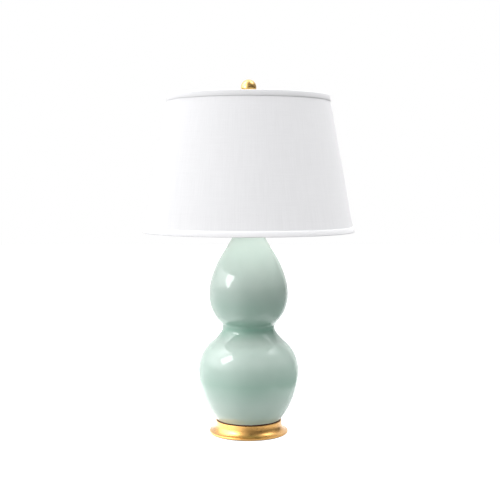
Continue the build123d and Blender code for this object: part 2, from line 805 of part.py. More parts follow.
with BuildPart() as bulb_envelope:
    with BuildSketch(Plane.XZ):
        with BuildLine():
            neck_side = JernArc((bulb_neck_radius, glass_base), (0, 1), neck_arc_radius, -neck_turn)
            ball_side = JernArc(neck_side @ 1, neck_side % 1, bulb_radius, 90 + neck_turn)
            Polyline(ball_side @ 1, (0, glass_base), (bulb_neck_radius, glass_base))
        make_face()
    revolve(axis=Axis.Z)
    inner_radius = bulb_radius - bulb_glass
    ball_z = bulb_base + bulb_length - bulb_radius
    sweep_step = (90 + neck_turn) / bulb_inner_steps
    inner_angles = [radians(step * sweep_step - neck_turn) for step in range(bulb_inner_steps + 1)]
    inner_ball = [(inner_radius * cos(a), ball_z + inner_radius * sin(a)) for a in inner_angles[1:-1]]
    with BuildSketch(Plane.XZ):
        with BuildLine():
            neck_inside = JernArc(
                (bulb_neck_radius - bulb_glass, glass_base),
                (0, 1),
                neck_arc_radius + bulb_glass,
                -neck_turn,
                mode=Mode.PRIVATE,
            )
            Polyline(
                *[neck_inside @ (step / bulb_inner_steps) for step in range(bulb_inner_steps + 1)],
                *inner_ball,
                (0, ball_z + inner_radius),
                (0, glass_base),
                close=True,
            )
        make_face()
    revolve(axis=Axis.Z, mode=Mode.SUBTRACT)

# ---- finial ----
collar_top = washer_top + finial_height
with BuildPart() as finial_collar:
    with BuildSketch(Plane.XZ):
        with BuildLine():
            Polyline(
                (finial_top_radius, collar_top),
                (0, collar_top),
                (0, washer_top),
                (finial_base_radius, washer_top),
                (finial_base_radius, washer_top + finial_base_height),
            )
            ThreePointArc(
                (finial_base_radius, washer_top + finial_base_height),
                (finial_waist_radius, washer_top + finial_waist_height),
                (finial_top_radius, collar_top),
            )
        make_face()
    revolve(axis=Axis.Z)
    with BuildSketch(Plane.XY.offset(washer_top)):
        Circle(stud_radius + running_gap)
    extrude(amount=finial_bore_depth, mode=Mode.SUBTRACT)

with BuildPart() as finial_ball:
    ball_centre = collar_top + finial_stem + finial_ball_radius
    with Locations((0, 0, ball_centre)):
        Sphere(finial_ball_radius)
    with BuildSketch(Plane.XY.offset(collar_top)):
        Circle(finial_stem_radius)
    extrude(amount=finial_ball_radius)

pieces = {
    "felt_pad": felt_pad,
    "foot_plinth": foot_plinth,
    "cord_bushing": cord_bushing,
    "foot_washer": foot_washer,
    "lock_washer": lock_washer,
    "foot_nut": foot_nut,
    "seat_gasket": seat_gasket,
    "gourd_body": gourd_body,
    "cap_gasket": cap_gasket,
    "vase_cap": vase_cap,
    "neck_spacer": neck_spacer,
    "harp_saddle": harp_saddle,
    "lamp_pipe": lamp_pipe,
    "harp_wire": harp_wire,
    "swivel_stud": swivel_stud,
    "shade_cloth": shade_cloth,
    "shade_backing": shade_backing,
    "trim_top": trim_top,
    "trim_bottom": trim_bottom,
    "shade_ring_top": shade_ring_top,
    "shade_ring_bottom": shade_ring_bottom,
    "spider": spider,
    "socket_cap": socket_cap,
    "cap_set_screw": cap_set_screw,
    "socket_shell": socket_shell,
    "socket_liner": socket_liner,
    "socket_core": socket_core,
    "terminal_screws": terminal_screws,
    "screw_shell": screw_shell,
    "centre_contact": centre_contact,
    "switch_shaft": switch_shaft,
    "switch_knob": switch_knob,
    "bulb_contact": bulb_contact,
    "bulb_insulator": bulb_insulator,
    "bulb_cap": bulb_cap,
    "bulb_envelope": bulb_envelope,
    "finial_collar": finial_collar,
    "finial_ball": finial_ball,
}
for name, piece in pieces.items():
    piece.part.label = name
    export_step(piece.part, f"parts/{name}.step")
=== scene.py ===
"""Double gourd table lamp, dressed for rendering round its fixed CAD frame. Metres, +Z up."""

import logging
import math
from dataclasses import dataclass
from enum import Enum
from functools import lru_cache

import bmesh
import bpy
import numpy as np
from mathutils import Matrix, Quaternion, Vector


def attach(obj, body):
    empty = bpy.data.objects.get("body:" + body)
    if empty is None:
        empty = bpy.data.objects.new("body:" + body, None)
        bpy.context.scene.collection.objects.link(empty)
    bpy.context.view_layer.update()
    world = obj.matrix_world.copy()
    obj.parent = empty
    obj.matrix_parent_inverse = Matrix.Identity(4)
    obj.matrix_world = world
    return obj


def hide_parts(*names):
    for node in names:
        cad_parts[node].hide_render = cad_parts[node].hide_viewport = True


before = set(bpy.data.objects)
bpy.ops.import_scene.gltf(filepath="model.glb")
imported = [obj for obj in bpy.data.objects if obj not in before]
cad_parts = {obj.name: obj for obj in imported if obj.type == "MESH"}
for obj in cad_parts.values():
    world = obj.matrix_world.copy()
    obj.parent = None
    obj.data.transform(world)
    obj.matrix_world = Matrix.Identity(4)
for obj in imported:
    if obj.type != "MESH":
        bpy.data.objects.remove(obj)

MM = 0.001
BACK = math.pi / 2  # direction of the lamp's back, where seams and laps are put
log = logging.getLogger("lamp")

Points = np.ndarray
Tree = bpy.types.NodeTree
Node = bpy.types.Node
Socket = bpy.types.NodeSocket
Piece = bpy.types.Object
Pair = tuple[float, float]
Triple = tuple[float, float, float]


# ---------------------------------------------------------------- shapes


def tangent_arcs(start: Pair, heading: float, runs: tuple[Pair, ...], pitch: float) -> Points:
    """Chain of arcs, each leaving where and in the direction that the last one ended.

    A point of an arc is centre + s R (sin(h + t), -cos(h + t)), where h is the heading it starts
    with, t the angle turned so far and s the side of its centre, 1 on the left.

    Args:
        start: First point, as radius and height in mm.
        heading: Direction at the start, in radians from the radius axis.
        runs: Radius in mm and turn in degrees of each arc. A turn of 0 is a straight run that long.
        pitch: Largest distance between points in mm.

    Returns:
        Points along the chain, shaped (n, 2).
    """
    point = np.array(start, float)
    parts = [point[None]]
    for radius, degrees in runs:
        turn = math.radians(degrees)
        if turn:
            side = math.copysign(1.0, turn)
            centre = point + side * radius * np.array([-math.sin(heading), math.cos(heading)])
            steps = max(3, math.ceil(radius * abs(turn) / pitch))
            t = heading + np.linspace(0, turn, steps + 1)[1:]
            part = centre + side * radius * np.stack([np.sin(t), -np.cos(t)], -1)
            heading += turn
        else:
            steps = max(2, math.ceil(radius / pitch))
            along = np.linspace(0, radius, steps + 1)[1:, None]
            part = point + along * np.array([math.cos(heading), math.sin(heading)])
        parts.append(part)
        point = part[-1]
    return np.concatenate(parts)


def rounded(corners: list[Pair], radii: list[float], steps: int = 6) -> Points:
    """Closed outline with each corner replaced by an arc that touches both of its sides.

    The arc's centre lies on the line that halves the corner, R / sin(half) away from it.

    Args:
        corners: The outline's corners in mm, counter-clockwise.
        radii: Radius at each corner in mm, 0 for a sharp one.
        steps: Stretches in each arc.

    Returns:
        Points round the outline, shaped (n, 2).
    """
    points = np.array(corners, float)
    parts = []
    for before, here, after, radius in zip(np.roll(points, 1, 0), points, np.roll(points, -1, 0), radii):
        if not radius:
            parts.append(here[None])
            continue
        to_before = (before - here) / np.linalg.norm(before - here)
        to_after = (after - here) / np.linalg.norm(after - here)
        half = math.acos(float(np.clip(to_before @ to_after, -1, 1))) / 2
        middle = (to_before + to_after) / np.linalg.norm(to_before + to_after)
        centre = here + middle * radius / math.sin(half)
        first = here + to_before * radius / math.tan(half) - centre
        last = here + to_after * radius / math.tan(half) - centre
        begin = math.atan2(first[1], first[0])
        sweep = (math.atan2(last[1], last[0]) - begin + math.pi) % (2 * math.pi) - math.pi
        t = begin + sweep * np.linspace(0, 1, steps + 1)
        parts.append(centre + radius * np.stack([np.cos(t), np.sin(t)], -1))
    return np.concatenate(parts)


def spread(profile: Points, pitch: float) -> Points:
    """Closed outline with points added so that none of its sides is longer than pitch, in mm."""
    following = np.roll(profile, -1, 0)
    parts = []
    for a, b in zip(profile, following):
        steps = max(1, math.ceil(float(np.linalg.norm(b - a)) / pitch))
        parts.append(a + (b - a) * (np.arange(steps) / steps)[:, None])
    return np.concatenate(parts)


def grid_piece(name: str, points: Points, uv: Points | None = None, sharp: float = 35.0) -> Piece:
    """Mesh of the grid point(i, j), which closes on itself in both directions.

    Each face joins (i, j), (i, j + 1), (i + 1, j + 1) and (i + 1, j). Doubles at poles are merged.

    Args:
        name: Name of the new object.
        points: Grid of points in metres, shaped (rows, columns, 3).
        uv: Lengths in metres at each grid corner, shaped (rows + 1, columns + 1, 2).
        sharp: Angle in degrees past which an edge stays sharp.

    Returns:
        The new object, at the origin.
    """
    rows, columns = points.shape[:2]
    i, j = np.meshgrid(np.arange(rows), np.arange(columns), indexing="ij")
    across, down = (j + 1) % columns, (i + 1) % rows
    faces = np.stack(
        [i * columns + j, i * columns + across, down * columns + across, down * columns + j], -1
    ).reshape(-1, 4)
    mesh = bpy.data.meshes.new(name)
    mesh.from_pydata(points.reshape(-1, 3).tolist(), [], faces.tolist())
    if uv is not None:
        corners = np.stack([uv[i, j], uv[i, j + 1], uv[i + 1, j + 1], uv[i + 1, j]], 2).reshape(-1, 2)
        layer = mesh.uv_layers.new(name="cloth")
        layer.data.foreach_set("uv", corners.ravel().astype(np.float32))
    return finished(name, mesh, sharp)


def finished(name: str, mesh: bpy.types.Mesh, sharp: float) -> Piece:
    """Object of a mesh with its doubles merged, and its shading smooth up to the sharp angle in degrees."""
    work = bmesh.new()
    work.from_mesh(mesh)
    bmesh.ops.remove_doubles(work, verts=work.verts, dist=1e-6)
    work.to_mesh(mesh)
    work.free()
    mesh.shade_smooth()
    mesh.set_sharp_from_angle(angle=math.radians(sharp))
    piece = bpy.data.objects.new(name, mesh)
    bpy.context.scene.collection.objects.link(piece)
    return piece


def lathe(name: str, profile: Points, around: int = 160, sharp: float = 35.0) -> Piece:
    """Closed outline turned round the lamp's axis: point = (r cos t, r sin t, z).

    Args:
        name: Name of the new object.
        profile: Radius and height in mm, up the outside and down the inside.
        around: Number of stretches in a full turn.
        sharp: Angle in degrees past which an edge stays sharp.

    Returns:
        The new object.
    """
    t = np.arange(around) * 2 * math.pi / around
    r, z = profile[:, :1] * MM, profile[:, 1:] * MM
    points = np.stack([r * np.cos(t), r * np.sin(t), z + 0 * t], -1)
    return grid_piece(name, points, sharp=sharp)


def threaded(name: str, profile: Points, span: Pair, pitch: float, depth: float, inward: bool = False) -> Piece:
    """Turned outline whose skin carries a right-hand screw thread between two heights.

    The radius changes by depth (1 - cos(2 pi z / pitch - t)) / 2, faded over half a pitch at each
    end of the span, so the ridge climbs one pitch with each turn.

    Args:
        name: Name of the new object.
        profile: Radius and height in mm, up the outside and down the inside.
        span: Lowest and highest height of the thread in mm.
        pitch: Rise of the thread in one turn in mm.
        depth: Height of the ridges in mm.
        inward: Whether the whole wall follows the thread, as rolled sheet does.

    Returns:
        The new object.
    """
    profile = spread(profile, pitch / 10)
    t = np.arange(96) * 2 * math.pi / 96
    r, z = profile[:, :1], profile[:, 1:]
    fade = np.clip((z - span[0]) / (pitch / 2), 0, 1) * np.clip((span[1] - z) / (pitch / 2), 0, 1)
    outside = np.ones_like(r) if inward else (r > r.max() - 1e-3).astype(float)
    wave = depth * (1 - np.cos(2 * math.pi * z / pitch - t)) / 2
    r = (r - fade * outside * wave) * MM
    points = np.stack([r * np.cos(t), r * np.sin(t), z * MM + 0 * t], -1)
    return grid_piece(name, points, sharp=60.0)


def smooth_copy(node: str, name: str, sharp: float) -> Piece:
    """Copy of a CAD node's mesh, merged and shaded smooth, for a shape with holes and flats in it."""
    return finished(name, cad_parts[node].data.copy(), sharp)


# ---------------------------------------------------------------- materials


def linear(colour: str) -> tuple[float, float, float, float]:
    """Linear colour of an sRGB hex value such as "#C8D8D0"."""
    parts = np.array([int(colour[k : k + 2], 16) for k in (1, 3, 5)]) / 255
    values = np.where(parts <= 0.04045, parts / 12.92, ((parts + 0.055) / 1.055) ** 2.4)
    return (*(float(v) for v in values), 1.0)


def add_node(tree: Tree, kind: str, inputs: dict | None = None, **settings) -> Node:
    """Add a shader node.

    Args:
        tree: Node tree that gets the node.
        kind: Node type without its ShaderNode prefix.
        inputs: Value or output socket for each input, by name or number.
        **settings: Attributes of the node itself.

    Returns:
        The new node.
    """
    node = tree.nodes.new("ShaderNode" + kind)
    for key, value in settings.items():
        setattr(node, key, value)
    for key, value in (inputs or {}).items():
        if isinstance(value, Socket):
            tree.links.new(value, node.inputs[key])
        else:
            node.inputs[key].default_value = value
    return node


def maths(tree: Tree, what: str, *values: float | Socket) -> Socket:
    """Output of a maths node such as MULTIPLY on the given values or sockets."""
    return add_node(tree, "Math", dict(enumerate(values)), operation=what).outputs[0]


def blend_colour(tree: Tree, share: float | Socket, first: Socket | tuple, second: Socket | tuple) -> Socket:
    """Colour that goes from first to second as share goes from 0 to 1."""
    return add_node(tree, "Mix", {0: share, 6: first, 7: second}, data_type="RGBA").outputs[2]


def blend(tree: Tree, share: float | Socket, first: float | Socket, second: float | Socket) -> Socket:
    """Value that goes from first to second as share goes from 0 to 1."""
    return add_node(tree, "Mix", {0: share, 2: first, 3: second}).outputs[0]


def remap(tree: Tree, value: Socket, low: float, high: float, first: float = 0, last: float = 1, **settings) -> Socket:
    """Value that goes from first to last as the given one goes from low to high."""
    span = {"Value": value, "From Min": low, "From Max": high, "To Min": first, "To Max": last}
    return add_node(tree, "MapRange", span, **settings).outputs[0]


def object_place(tree: Tree) -> Socket:
    """Place on the object in metres."""
    return add_node(tree, "TexCoord").outputs["Object"]


def level_axis(tree: Tree, direction: Socket, axis: str) -> Socket:
    """One axis of a direction's level part, at length 1."""
    flat = add_node(tree, "VectorMath", {0: direction, 1: (1.0, 1.0, 0.0)}, operation="MULTIPLY").outputs[0]
    level = add_node(tree, "VectorMath", {0: flat}, operation="NORMALIZE").outputs[0]
    return add_node(tree, "SeparateXYZ", {0: level}).outputs[axis]


def per_metre(size: float) -> float:
    """Noise scale whose features are about size mm across, on coordinates in metres."""
    return 1 / (size * MM)


@dataclass(frozen=True)
class Finish:
    """A surface finish with one colour, small marks and a fine grain.

    Attributes:
        name: What the material is and how its surface was made.
        colour: sRGB hex colour.
        roughness: Typical roughness, from 0 to 1.
        metallic: 1 for a bare metal.
        grain: Size of the surface's grain in mm.
        relief: Height of the grain in mm.
        drift: Share by which the colour and roughness wander.
    """

    name: str
    colour: str
    roughness: float
    metallic: float = 0.0
    grain: float = 1.0
    relief: float = 0.02
    drift: float = 0.06

    def build(self) -> bpy.types.Material:
        """Make the material."""
        material = bpy.data.materials.new(self.name)
        material.use_nodes = True
        tree = material.node_tree
        shader = tree.nodes["Principled BSDF"]
        shader.inputs["Metallic"].default_value = self.metallic
        shader.inputs["Roughness"].default_value = self.roughness
        self.dress(tree, shader)
        return material

    def dress(self, tree: Tree, shader: Node) -> None:
        """Give the shader its colour, roughness and relief."""
        place = object_place(tree)
        marks = self.noise(tree, place, 14 * self.grain, 4.0)
        self.set_colour(tree, shader, marks)
        self.set_roughness(tree, shader, marks)
        self.set_relief(tree, shader, self.noise(tree, place, self.grain, 3.0))

    def noise(self, tree: Tree, place: Socket, size: float, detail: float = 2.0) -> Socket:
        """Noise from 0 to 1 with features of size mm."""
        settings = {"Vector": place, "Scale": per_metre(size), "Detail": detail}
        return add_node(tree, "TexNoise", settings).outputs[0]

    def set_colour(self, tree: Tree, shader: Node, share: Socket) -> None:
        """Let the colour go from darker by the drift to its full value, as share goes from 0 to 1."""
        dark = tuple(c * (1 - self.drift) for c in linear(self.colour)[:3]) + (1.0,)
        tree.links.new(blend_colour(tree, share, dark, linear(self.colour)), shader.inputs["Base Color"])

    def set_roughness(self, tree: Tree, shader: Node, share: Socket) -> None:
        """Let the roughness wander by up to twice the drift, as share goes from 0 to 1."""
        smoothest, roughest = (self.roughness * (1 + side * 2 * self.drift) for side in (-1, 1))
        tree.links.new(remap(tree, share, 0.3, 0.7, smoothest, roughest), shader.inputs["Roughness"])

    def set_relief(self, tree: Tree, shader: Node, height: Socket) -> None:
        """Raise the surface by the relief where height is 1."""
        bump = add_node(tree, "Bump", {"Height": height, "Distance": self.relief * MM, "Strength": 1.0})
        tree.links.new(bump.outputs[0], shader.inputs["Normal"])


@dataclass(frozen=True)
class CeladonGlaze(Finish):
    """Clear green glass over white clay: darker where the glaze gathers thick, and darker under each belly as painted
    shade, with a skin as smooth as poured glass.

    Attributes:
        thick_and_shaded_green: sRGB hex colour where the glaze is thickest, also used as the painted shade under each
            belly.
        foot: Height in mm at which the glaze starts.
        neck: Height in mm at which it ends.
        thickness_and_shade: Heights in mm, each with how far the colour goes to that darker green, from 0 to 1: glaze
            gathered thick at the foot and in the waist, painted shade under each belly.
        cloud: Size in mm of the clouds in its depth.
        fleck: Size in mm of the iron flecks.
        fleck_level: Noise above which there is a fleck.
        fleck_share: How strongly a fleck shows.
        fleck_colour: Its sRGB hex colour.
        index: The glaze's refractive index.
    """

    thick_and_shaded_green: str = "#8CBEA9"
    foot: float = 29.1
    neck: float = 435.1
    # From 70 to 112 mm and from 240 to 268 mm, under the two bellies, the darker green is painted shade; at the foot
    # and in the waist at 219 mm it is glaze gathered thick.
    thickness_and_shade: tuple[Pair, ...] = (
        (29.1, 0.3),
        (70.0, 0.3),
        (112.0, 0.6),
        (160.0, 0.15),
        (195.0, 0.1),
        (219.0, 0.9),
        (240.0, 0.5),
        (268.0, 0.5),
        (310.0, 0.1),
        (400.0, 0.0),
    )
    cloud: float = 55.0
    fleck: float = 0.9
    fleck_level: float = 0.74
    fleck_share: float = 0.10
    fleck_colour: str = "#7F8F80"
    index: float = 1.52

    def dress(self, tree: Tree, shader: Node) -> None:
        """Darken the green where the glaze gathers at the foot and in the waist, paint shade as darker green under
        each belly, and ripple its skin by a few microns.
        """
        place = object_place(tree)
        height = add_node(tree, "SeparateXYZ", {0: place}).outputs["Z"]
        ramp = add_node(tree, "ValToRGB", {0: remap(tree, height, self.foot * MM, self.neck * MM)})
        elements = ramp.color_ramp.elements
        for _ in range(len(self.thickness_and_shade) - len(elements)):
            elements.new(0.5)
        pale, dark_green = np.array(linear(self.colour)), np.array(linear(self.thick_and_shaded_green))
        # Painted shade: the stops under the bellies darken the glaze where the light falls away.
        for element, (level, depth) in zip(elements, self.thickness_and_shade):
            element.position = (level - self.foot) / (self.neck - self.foot)
            element.color = pale + (dark_green - pale) * depth
        cloud = self.noise(tree, place, self.cloud, 3.0)
        colour = blend_colour(tree, maths(tree, "MULTIPLY", cloud, self.drift), ramp.outputs[0], tuple(dark_green))
        speck = maths(tree, "GREATER_THAN", self.noise(tree, place, self.fleck, 1.0), self.fleck_level)
        share = maths(tree, "MULTIPLY", speck, self.fleck_share)
        tree.links.new(blend_colour(tree, share, colour, linear(self.fleck_colour)), shader.inputs["Base Color"])
        shader.inputs["IOR"].default_value = self.index
        self.set_relief(tree, shader, self.noise(tree, place, self.grain, 1.0))


@dataclass(frozen=True)
class GoldLeaf(Finish):
    """Thin gold leaf laid in squares over red-brown clay and burnished: laps, fine cracks and rubbed edges.

    Attributes:
        clay: Colour of the clay under the leaf.
        leaf: Width of a leaf in mm.
        around: Radius in mm at which the leaves are measured.
        lap: Share of a leaf that lies over the next one.
        crack: Half width of a crack, as a share of a 7 mm cell.
        cracked: Noise above which there are cracks.
        rubbed: Noise above which the leaf is rubbed through.
        bare: How strongly the clay shows there.
        warm: Red, green and blue of the leaf's deeper tone, each as a share of its colour.
        coat: Weight and roughness of the varnish over the leaf.
    """

    clay: str = "#5E3216"
    leaf: float = 80.0
    around: float = 76.0
    lap: float = 0.045
    crack: float = 0.018
    cracked: float = 0.58
    rubbed: float = 0.72
    bare: float = 0.5
    warm: Triple = (0.90, 0.82, 0.70)
    coat: Pair = (0.7, 0.25)

    def dress(self, tree: Tree, shader: Node) -> None:
        """Lay the leaves round the axis, crack them and let the clay show in places."""
        place = object_place(tree)
        axes = add_node(tree, "SeparateXYZ", {0: place}).outputs
        angle = maths(tree, "ARCTAN2", axes["Y"], axes["X"])
        wander = maths(tree, "MULTIPLY", self.noise(tree, place, 9.0, 3.0), 0.10)
        leaves = round(2 * math.pi * self.around / self.leaf)
        turned = maths(tree, "MULTIPLY_ADD", angle, leaves / (2 * math.pi), wander)
        lap = maths(tree, "LESS_THAN", maths(tree, "FRACT", turned), self.lap)
        streak_place = add_node(
            tree,
            "CombineXYZ",
            {"X": maths(tree, "MULTIPLY", angle, self.around * MM * 0.12), "Y": axes["Z"], "Z": 0.0},
        ).outputs[0]
        streak = self.noise(tree, streak_place, 1.3, 3.0)
        cells = add_node(
            tree,
            "TexVoronoi",
            {"Vector": place, "Scale": per_metre(7.0), "Randomness": 1.0},
            feature="DISTANCE_TO_EDGE",
        ).outputs[0]
        patch = maths(tree, "GREATER_THAN", self.noise(tree, place, 16.0, 4.0), self.cracked)
        crack = maths(tree, "MULTIPLY", maths(tree, "LESS_THAN", cells, self.crack), patch)
        rub = maths(tree, "GREATER_THAN", self.noise(tree, place, 2.6, 5.0), self.rubbed)
        bare = maths(tree, "MINIMUM", maths(tree, "ADD", crack, rub), 1.0)
        warm = tuple(c * k for c, k in zip(linear(self.colour)[:3], self.warm)) + (1.0,)
        gold = blend_colour(tree, streak, warm, linear(self.colour))
        gold = blend_colour(tree, maths(tree, "MULTIPLY", lap, 0.4), gold, warm)
        gold = blend_colour(tree, maths(tree, "MULTIPLY", bare, self.bare), gold, linear(self.clay))
        tree.links.new(gold, shader.inputs["Base Color"])
        shader.inputs["Coat Weight"].default_value, shader.inputs["Coat Roughness"].default_value = self.coat
        self.set_roughness(tree, shader, streak)
        height = maths(tree, "MULTIPLY_ADD", lap, 0.6, maths(tree, "SUBTRACT", streak, bare))
        self.set_relief(tree, shader, height)


class Weave(Enum):
    """Which way the slubs of a cloth run on its piece."""

    UPRIGHT = "upright"
    LEVEL = "level"


@dataclass(frozen=True)
class LinenCloth(Finish):
    """Plain-woven bleached linen: uneven threads with slubs, which read as faint streaks from a step away.

    Attributes:
        thread: Spacing of the threads in mm. The real 0.5 mm is drawn at 1.1 mm so that it shows.
        slubs: Direction of the stronger slubs.
        stretch: Width of a streak as a share of its length.
        fuzz: Weight of the sheen that the loose fibres give.
        specular: Strength of the gloss, half of a plain surface's.
    """

    thread: float = 1.1
    slubs: Weave = Weave.UPRIGHT
    stretch: float = 0.035
    fuzz: float = 0.12
    specular: float = 0.25

    def dress(self, tree: Tree, shader: Node) -> None:
        """Weave the threads on the piece's own lengths, which are metres round and up it."""
        lengths = add_node(tree, "UVMap", uv_map="cloth").outputs[0]
        axes = add_node(tree, "SeparateXYZ", {0: lengths}).outputs
        sines = [
            maths(tree, "SINE", maths(tree, "MULTIPLY", axes[side], 2 * math.pi / (self.thread * MM)))
            for side in ("X", "Y")
        ]
        weave = maths(tree, "MULTIPLY", sines[0], sines[1])
        long_side, short_side = (self.stretch, 1.0) if self.slubs is Weave.UPRIGHT else (1.0, self.stretch)
        strong = self.streaks(tree, lengths, (short_side, long_side, 1.0))
        weak = self.streaks(tree, lengths, (long_side, short_side, 1.0))
        cloud = maths(tree, "MULTIPLY_ADD", weak, 0.35, maths(tree, "MULTIPLY", strong, 0.65))
        self.set_colour(tree, shader, remap(tree, cloud, 0.35, 0.6))
        shader.inputs["Sheen Weight"].default_value = self.fuzz
        shader.inputs["Specular IOR Level"].default_value = self.specular
        height = maths(tree, "MULTIPLY_ADD", weave, 0.25, maths(tree, "MULTIPLY", cloud, 1.4))
        self.set_relief(tree, shader, height)

    def streaks(self, tree: Tree, lengths: Socket, scale: Triple) -> Socket:
        """Noise of one thread's width, drawn out along one direction of the cloth."""
        stretched = add_node(tree, "Mapping", {"Vector": lengths, "Scale": scale}).outputs[0]
        return self.noise(tree, stretched, 2 * self.thread, 3.0)


@dataclass(frozen=True)
class BrushedMetal(Finish):
    """Spun or drawn metal under clear lacquer: fine turning lines round the axis and faint handling marks.

    Attributes:
        lines: Size of the turning lines in mm.
        stretch: Width of a line as a share of its length.
    """

    lines: float = 0.35
    stretch: float = 0.05

    def dress(self, tree: Tree, shader: Node) -> None:
        """Draw the lines level, because these pieces are spun about the lamp's axis."""
        place = object_place(tree)
        flat = add_node(tree, "Mapping", {"Vector": place, "Scale": (self.stretch, self.stretch, 1.0)}).outputs[0]
        turning = self.noise(tree, flat, self.lines, 2.0)
        marks = self.noise(tree, place, 14 * self.grain, 4.0)
        self.set_colour(tree, shader, marks)
        self.set_roughness(tree, shader, marks)
        self.set_relief(tree, shader, turning)


@dataclass(frozen=True)
class OpalGlass(Finish):
    """Glass with a white powder coat inside: even and milky, with a clear smooth skin."""

    def dress(self, tree: Tree, shader: Node) -> None:
        """Keep the colour nearly even and let some light into the coat."""
        super().dress(tree, shader)
        shader.inputs["IOR"].default_value = 1.5
        shader.inputs["Coat Weight"].default_value = 0.6
        shader.inputs["Coat Roughness"].default_value = 0.04


# Clear green glass over white clay: pale and wet, with crisp reflections, a darker green where the glaze gathers
# thick, and painted shade as darker green under each belly.
GLAZE = CeladonGlaze("celadon_glaze_on_white_clay", "#D2E0D9", 0.02, grain=11.0, relief=0.006, drift=0.2)
# Burnished leaf: warm, soft-edged highlights, broken by laps, cracks and specks of brown clay.
FOOT_GOLD = GoldLeaf("burnished_gold_leaf_on_clay", "#EFBA6A", 0.32, metallic=1.0, relief=0.002, drift=0.10)
# The same leaf on a small ball: paler, with smaller leaves and livelier highlights.
BALL_GOLD = GoldLeaf(
    "gold_leaf_on_turned_ball", "#F3CB80", 0.28, metallic=1.0, relief=0.01, drift=0.18, leaf=40.0, around=16.0
)
# Bleached linen: matt white with faint uneven threads, mostly upright.
LINEN = LinenCloth("bleached_linen_on_styrene", "#ECECEE", 0.9, relief=0.06, drift=0.035)
# The same cloth folded as tape: its slubs run along the edge, so that the band reads apart.
LINEN_TAPE = LinenCloth(
    "bleached_linen_tape_folded", "#EEEEF0", 0.9, relief=0.06, drift=0.03, slubs=Weave.LEVEL
)
# Smooth plastic sheet: an even, slightly shiny white inside the shade.
STYRENE = Finish("white_styrene_sheet_rolled", "#F2F2EF", 0.5, grain=2.0, relief=0.01, drift=0.02)
# Baked enamel on wire: a warmer white with a soft shine.
ENAMEL = Finish("white_enamelled_steel_wire", "#ECEBE6", 0.35, grain=1.4, relief=0.02, drift=0.04)
# Lacquered brass: yellow mirror drawn out by level turning lines.
BRASS = BrushedMetal("spun_brass_lacquered", "#DDB766", 0.2, metallic=1.0, relief=0.003, drift=0.14)
# Brass left as turned: duller, without lines.
STUD_BRASS = Finish("turned_brass_thread", "#D9B25E", 0.28, metallic=1.0, grain=0.8, relief=0.01)
# Zinc plate: cool grey with blurred reflections.
STEEL = BrushedMetal("zinc_plated_steel", "#B9BCC0", 0.34, metallic=1.0, relief=0.004, drift=0.12)
# Thin rolled sheet: light, cool and bright.
ALUMINIUM = Finish("rolled_aluminium_sheet", "#C9CBCD", 0.3, metallic=1.0, grain=1.0, relief=0.01)
# Moulded resin: brown-black with a low, even shine.
PHENOLIC = Finish("moulded_phenolic_resin", "#2A211C", 0.42, grain=0.8, relief=0.01, drift=0.12)
# Moulded plastic: black with clear small highlights.
BLACK_PLASTIC = Finish("moulded_black_plastic", "#141414", 0.3, grain=0.7, relief=0.008, drift=0.1)
# Paper board: dry and tan, without shine.
FIBRE = Finish("vulcanised_paper_fibre", "#B59A74", 0.75, grain=0.6, relief=0.03, drift=0.15)
# Rubber: dull red-brown, the dark line where it shows.
RUBBER = Finish("brown_rubber_gasket", "#5A2C10", 0.7, grain=0.8, relief=0.02, drift=0.15)
# Wool felt: dark and soft, with no highlight at all.
FELT = Finish("pressed_wool_felt", "#4A4038", 0.95, grain=0.5, relief=0.12, drift=0.25)
# Coated bulb glass: milky, with a clear skin that takes a small highlight.
OPAL = OpalGlass("opal_bulb_glass", "#F3F2EC", 0.3, grain=3.0, relief=0.003, drift=0.02)
# Black glass: deep and glossy round the contact.
BLACK_GLASS = Finish("black_bulb_insulator_glass", "#101114", 0.12, grain=1.5, relief=0.004, drift=0.1)


@lru_cache(maxsize=None)
def material(finish: Finish) -> bpy.types.Material:
    """The one material of a finish."""
    return finish.build()


def paint(finish: Finish, *nodes: str) -> None:
    """Give CAD nodes their finish."""
    for node in nodes:
        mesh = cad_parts[node].data
        mesh.materials.clear()
        mesh.materials.append(material(finish))


def add_piece(piece: Piece, body: str, slot: str, finish: Finish, *nodes: str) -> Piece:
    """Put a new piece on its body and in place of CAD nodes.

    Args:
        piece: The finished piece.
        body: CAD body that carries it.
        slot: Material slot of the record. Not used.
        finish: Its finish.
        *nodes: CAD nodes that it stands for.

    Returns:
        The same piece.
    """
    piece.data.materials.clear()
    piece.data.materials.append(material(finish))
    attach(piece, body)
    if nodes:
        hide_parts(*nodes)
    log.info("%s: %d faces, on %s", piece.name, len(piece.data.polygons), body)
    return piece


def smooth_pieces(body: str, slot: str, finish: Finish, names: dict[str, str], sharp: float = 32.0) -> None:
    """Put smooth copies in place of CAD nodes, each under the new name given for its node."""
    for node, name in names.items():
        add_piece(smooth_copy(node, name, sharp), body, slot, finish, node)


# ---------------------------------------------------------------- sub-assemblies


